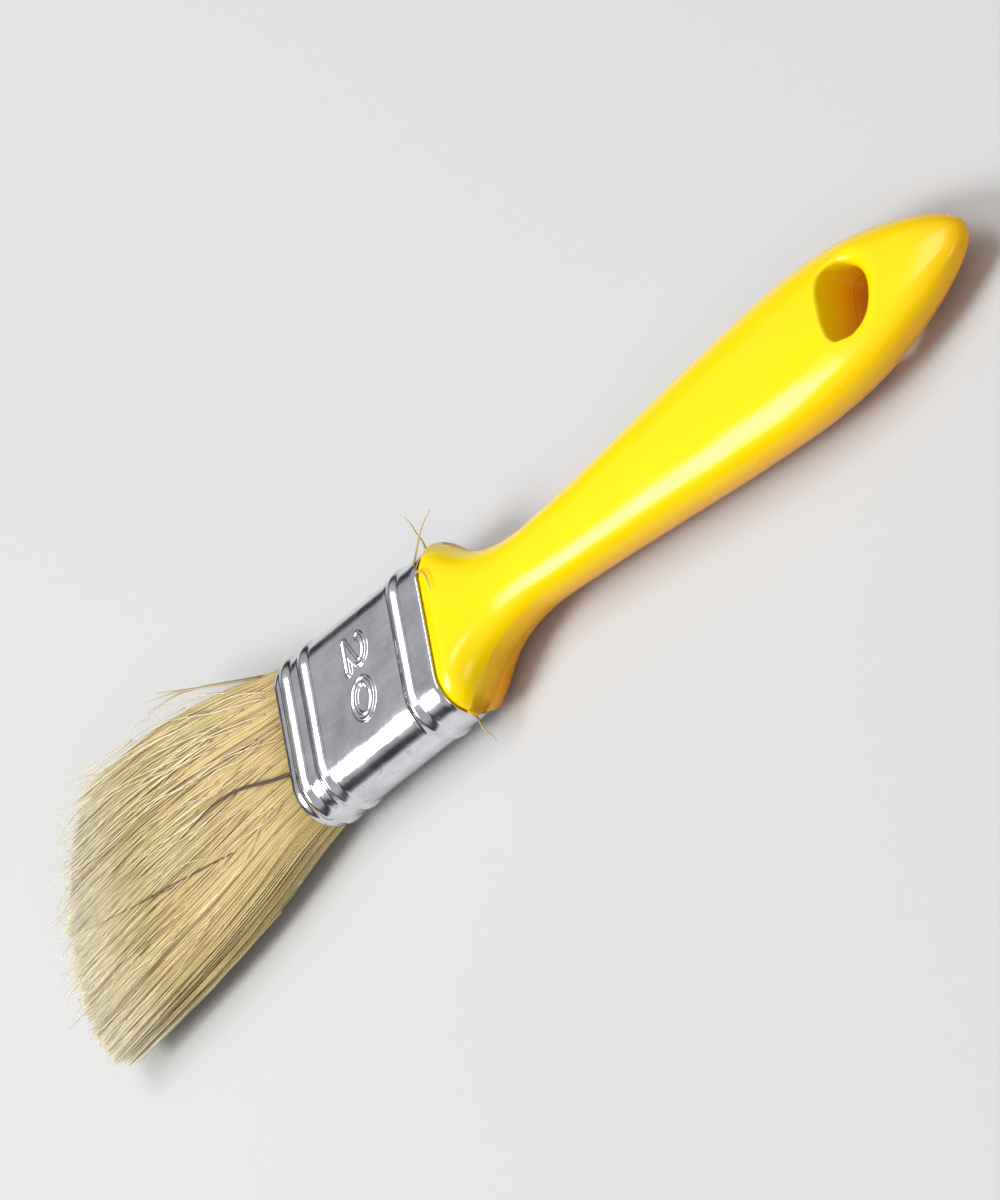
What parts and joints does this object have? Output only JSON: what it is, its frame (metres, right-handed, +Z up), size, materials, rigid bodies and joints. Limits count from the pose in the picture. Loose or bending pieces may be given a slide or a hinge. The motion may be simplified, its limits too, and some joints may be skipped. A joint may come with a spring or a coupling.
{
  "type": "paint brush",
  "caption": "Flat paint brush lying on its wide face, with moulded handle and hanging hole, beaded metal ferrule and fanned bristles.",
  "frame": {"origin": "on the resting plane, under the middle of the brush's length and width", "axes": "+X from the bristle tips to the handle's end, +Y across the brush's width, +Z up out of the wide face, which the brush lies on"},
  "size_m": [0.1508, 0.0284, 0.0092],
  "materials": {
    "yellow_plastic": "glossy",
    "tin_plate": "bright, finely scratched",
    "hog_bristle": "dry natural hair",
    "pale_wood": "sawn",
    "setting_resin": "set resin"
  },
  "bodies": {
    "root": {"ferrule": "tin_plate", "handle": "yellow_plastic", "bristle_pack_upper": "hog_bristle", "bristle_pack_lower": "hog_bristle", "spacer_strip": "pale_wood", "resin_block": "setting_resin"}
  },
  "joints": []
}
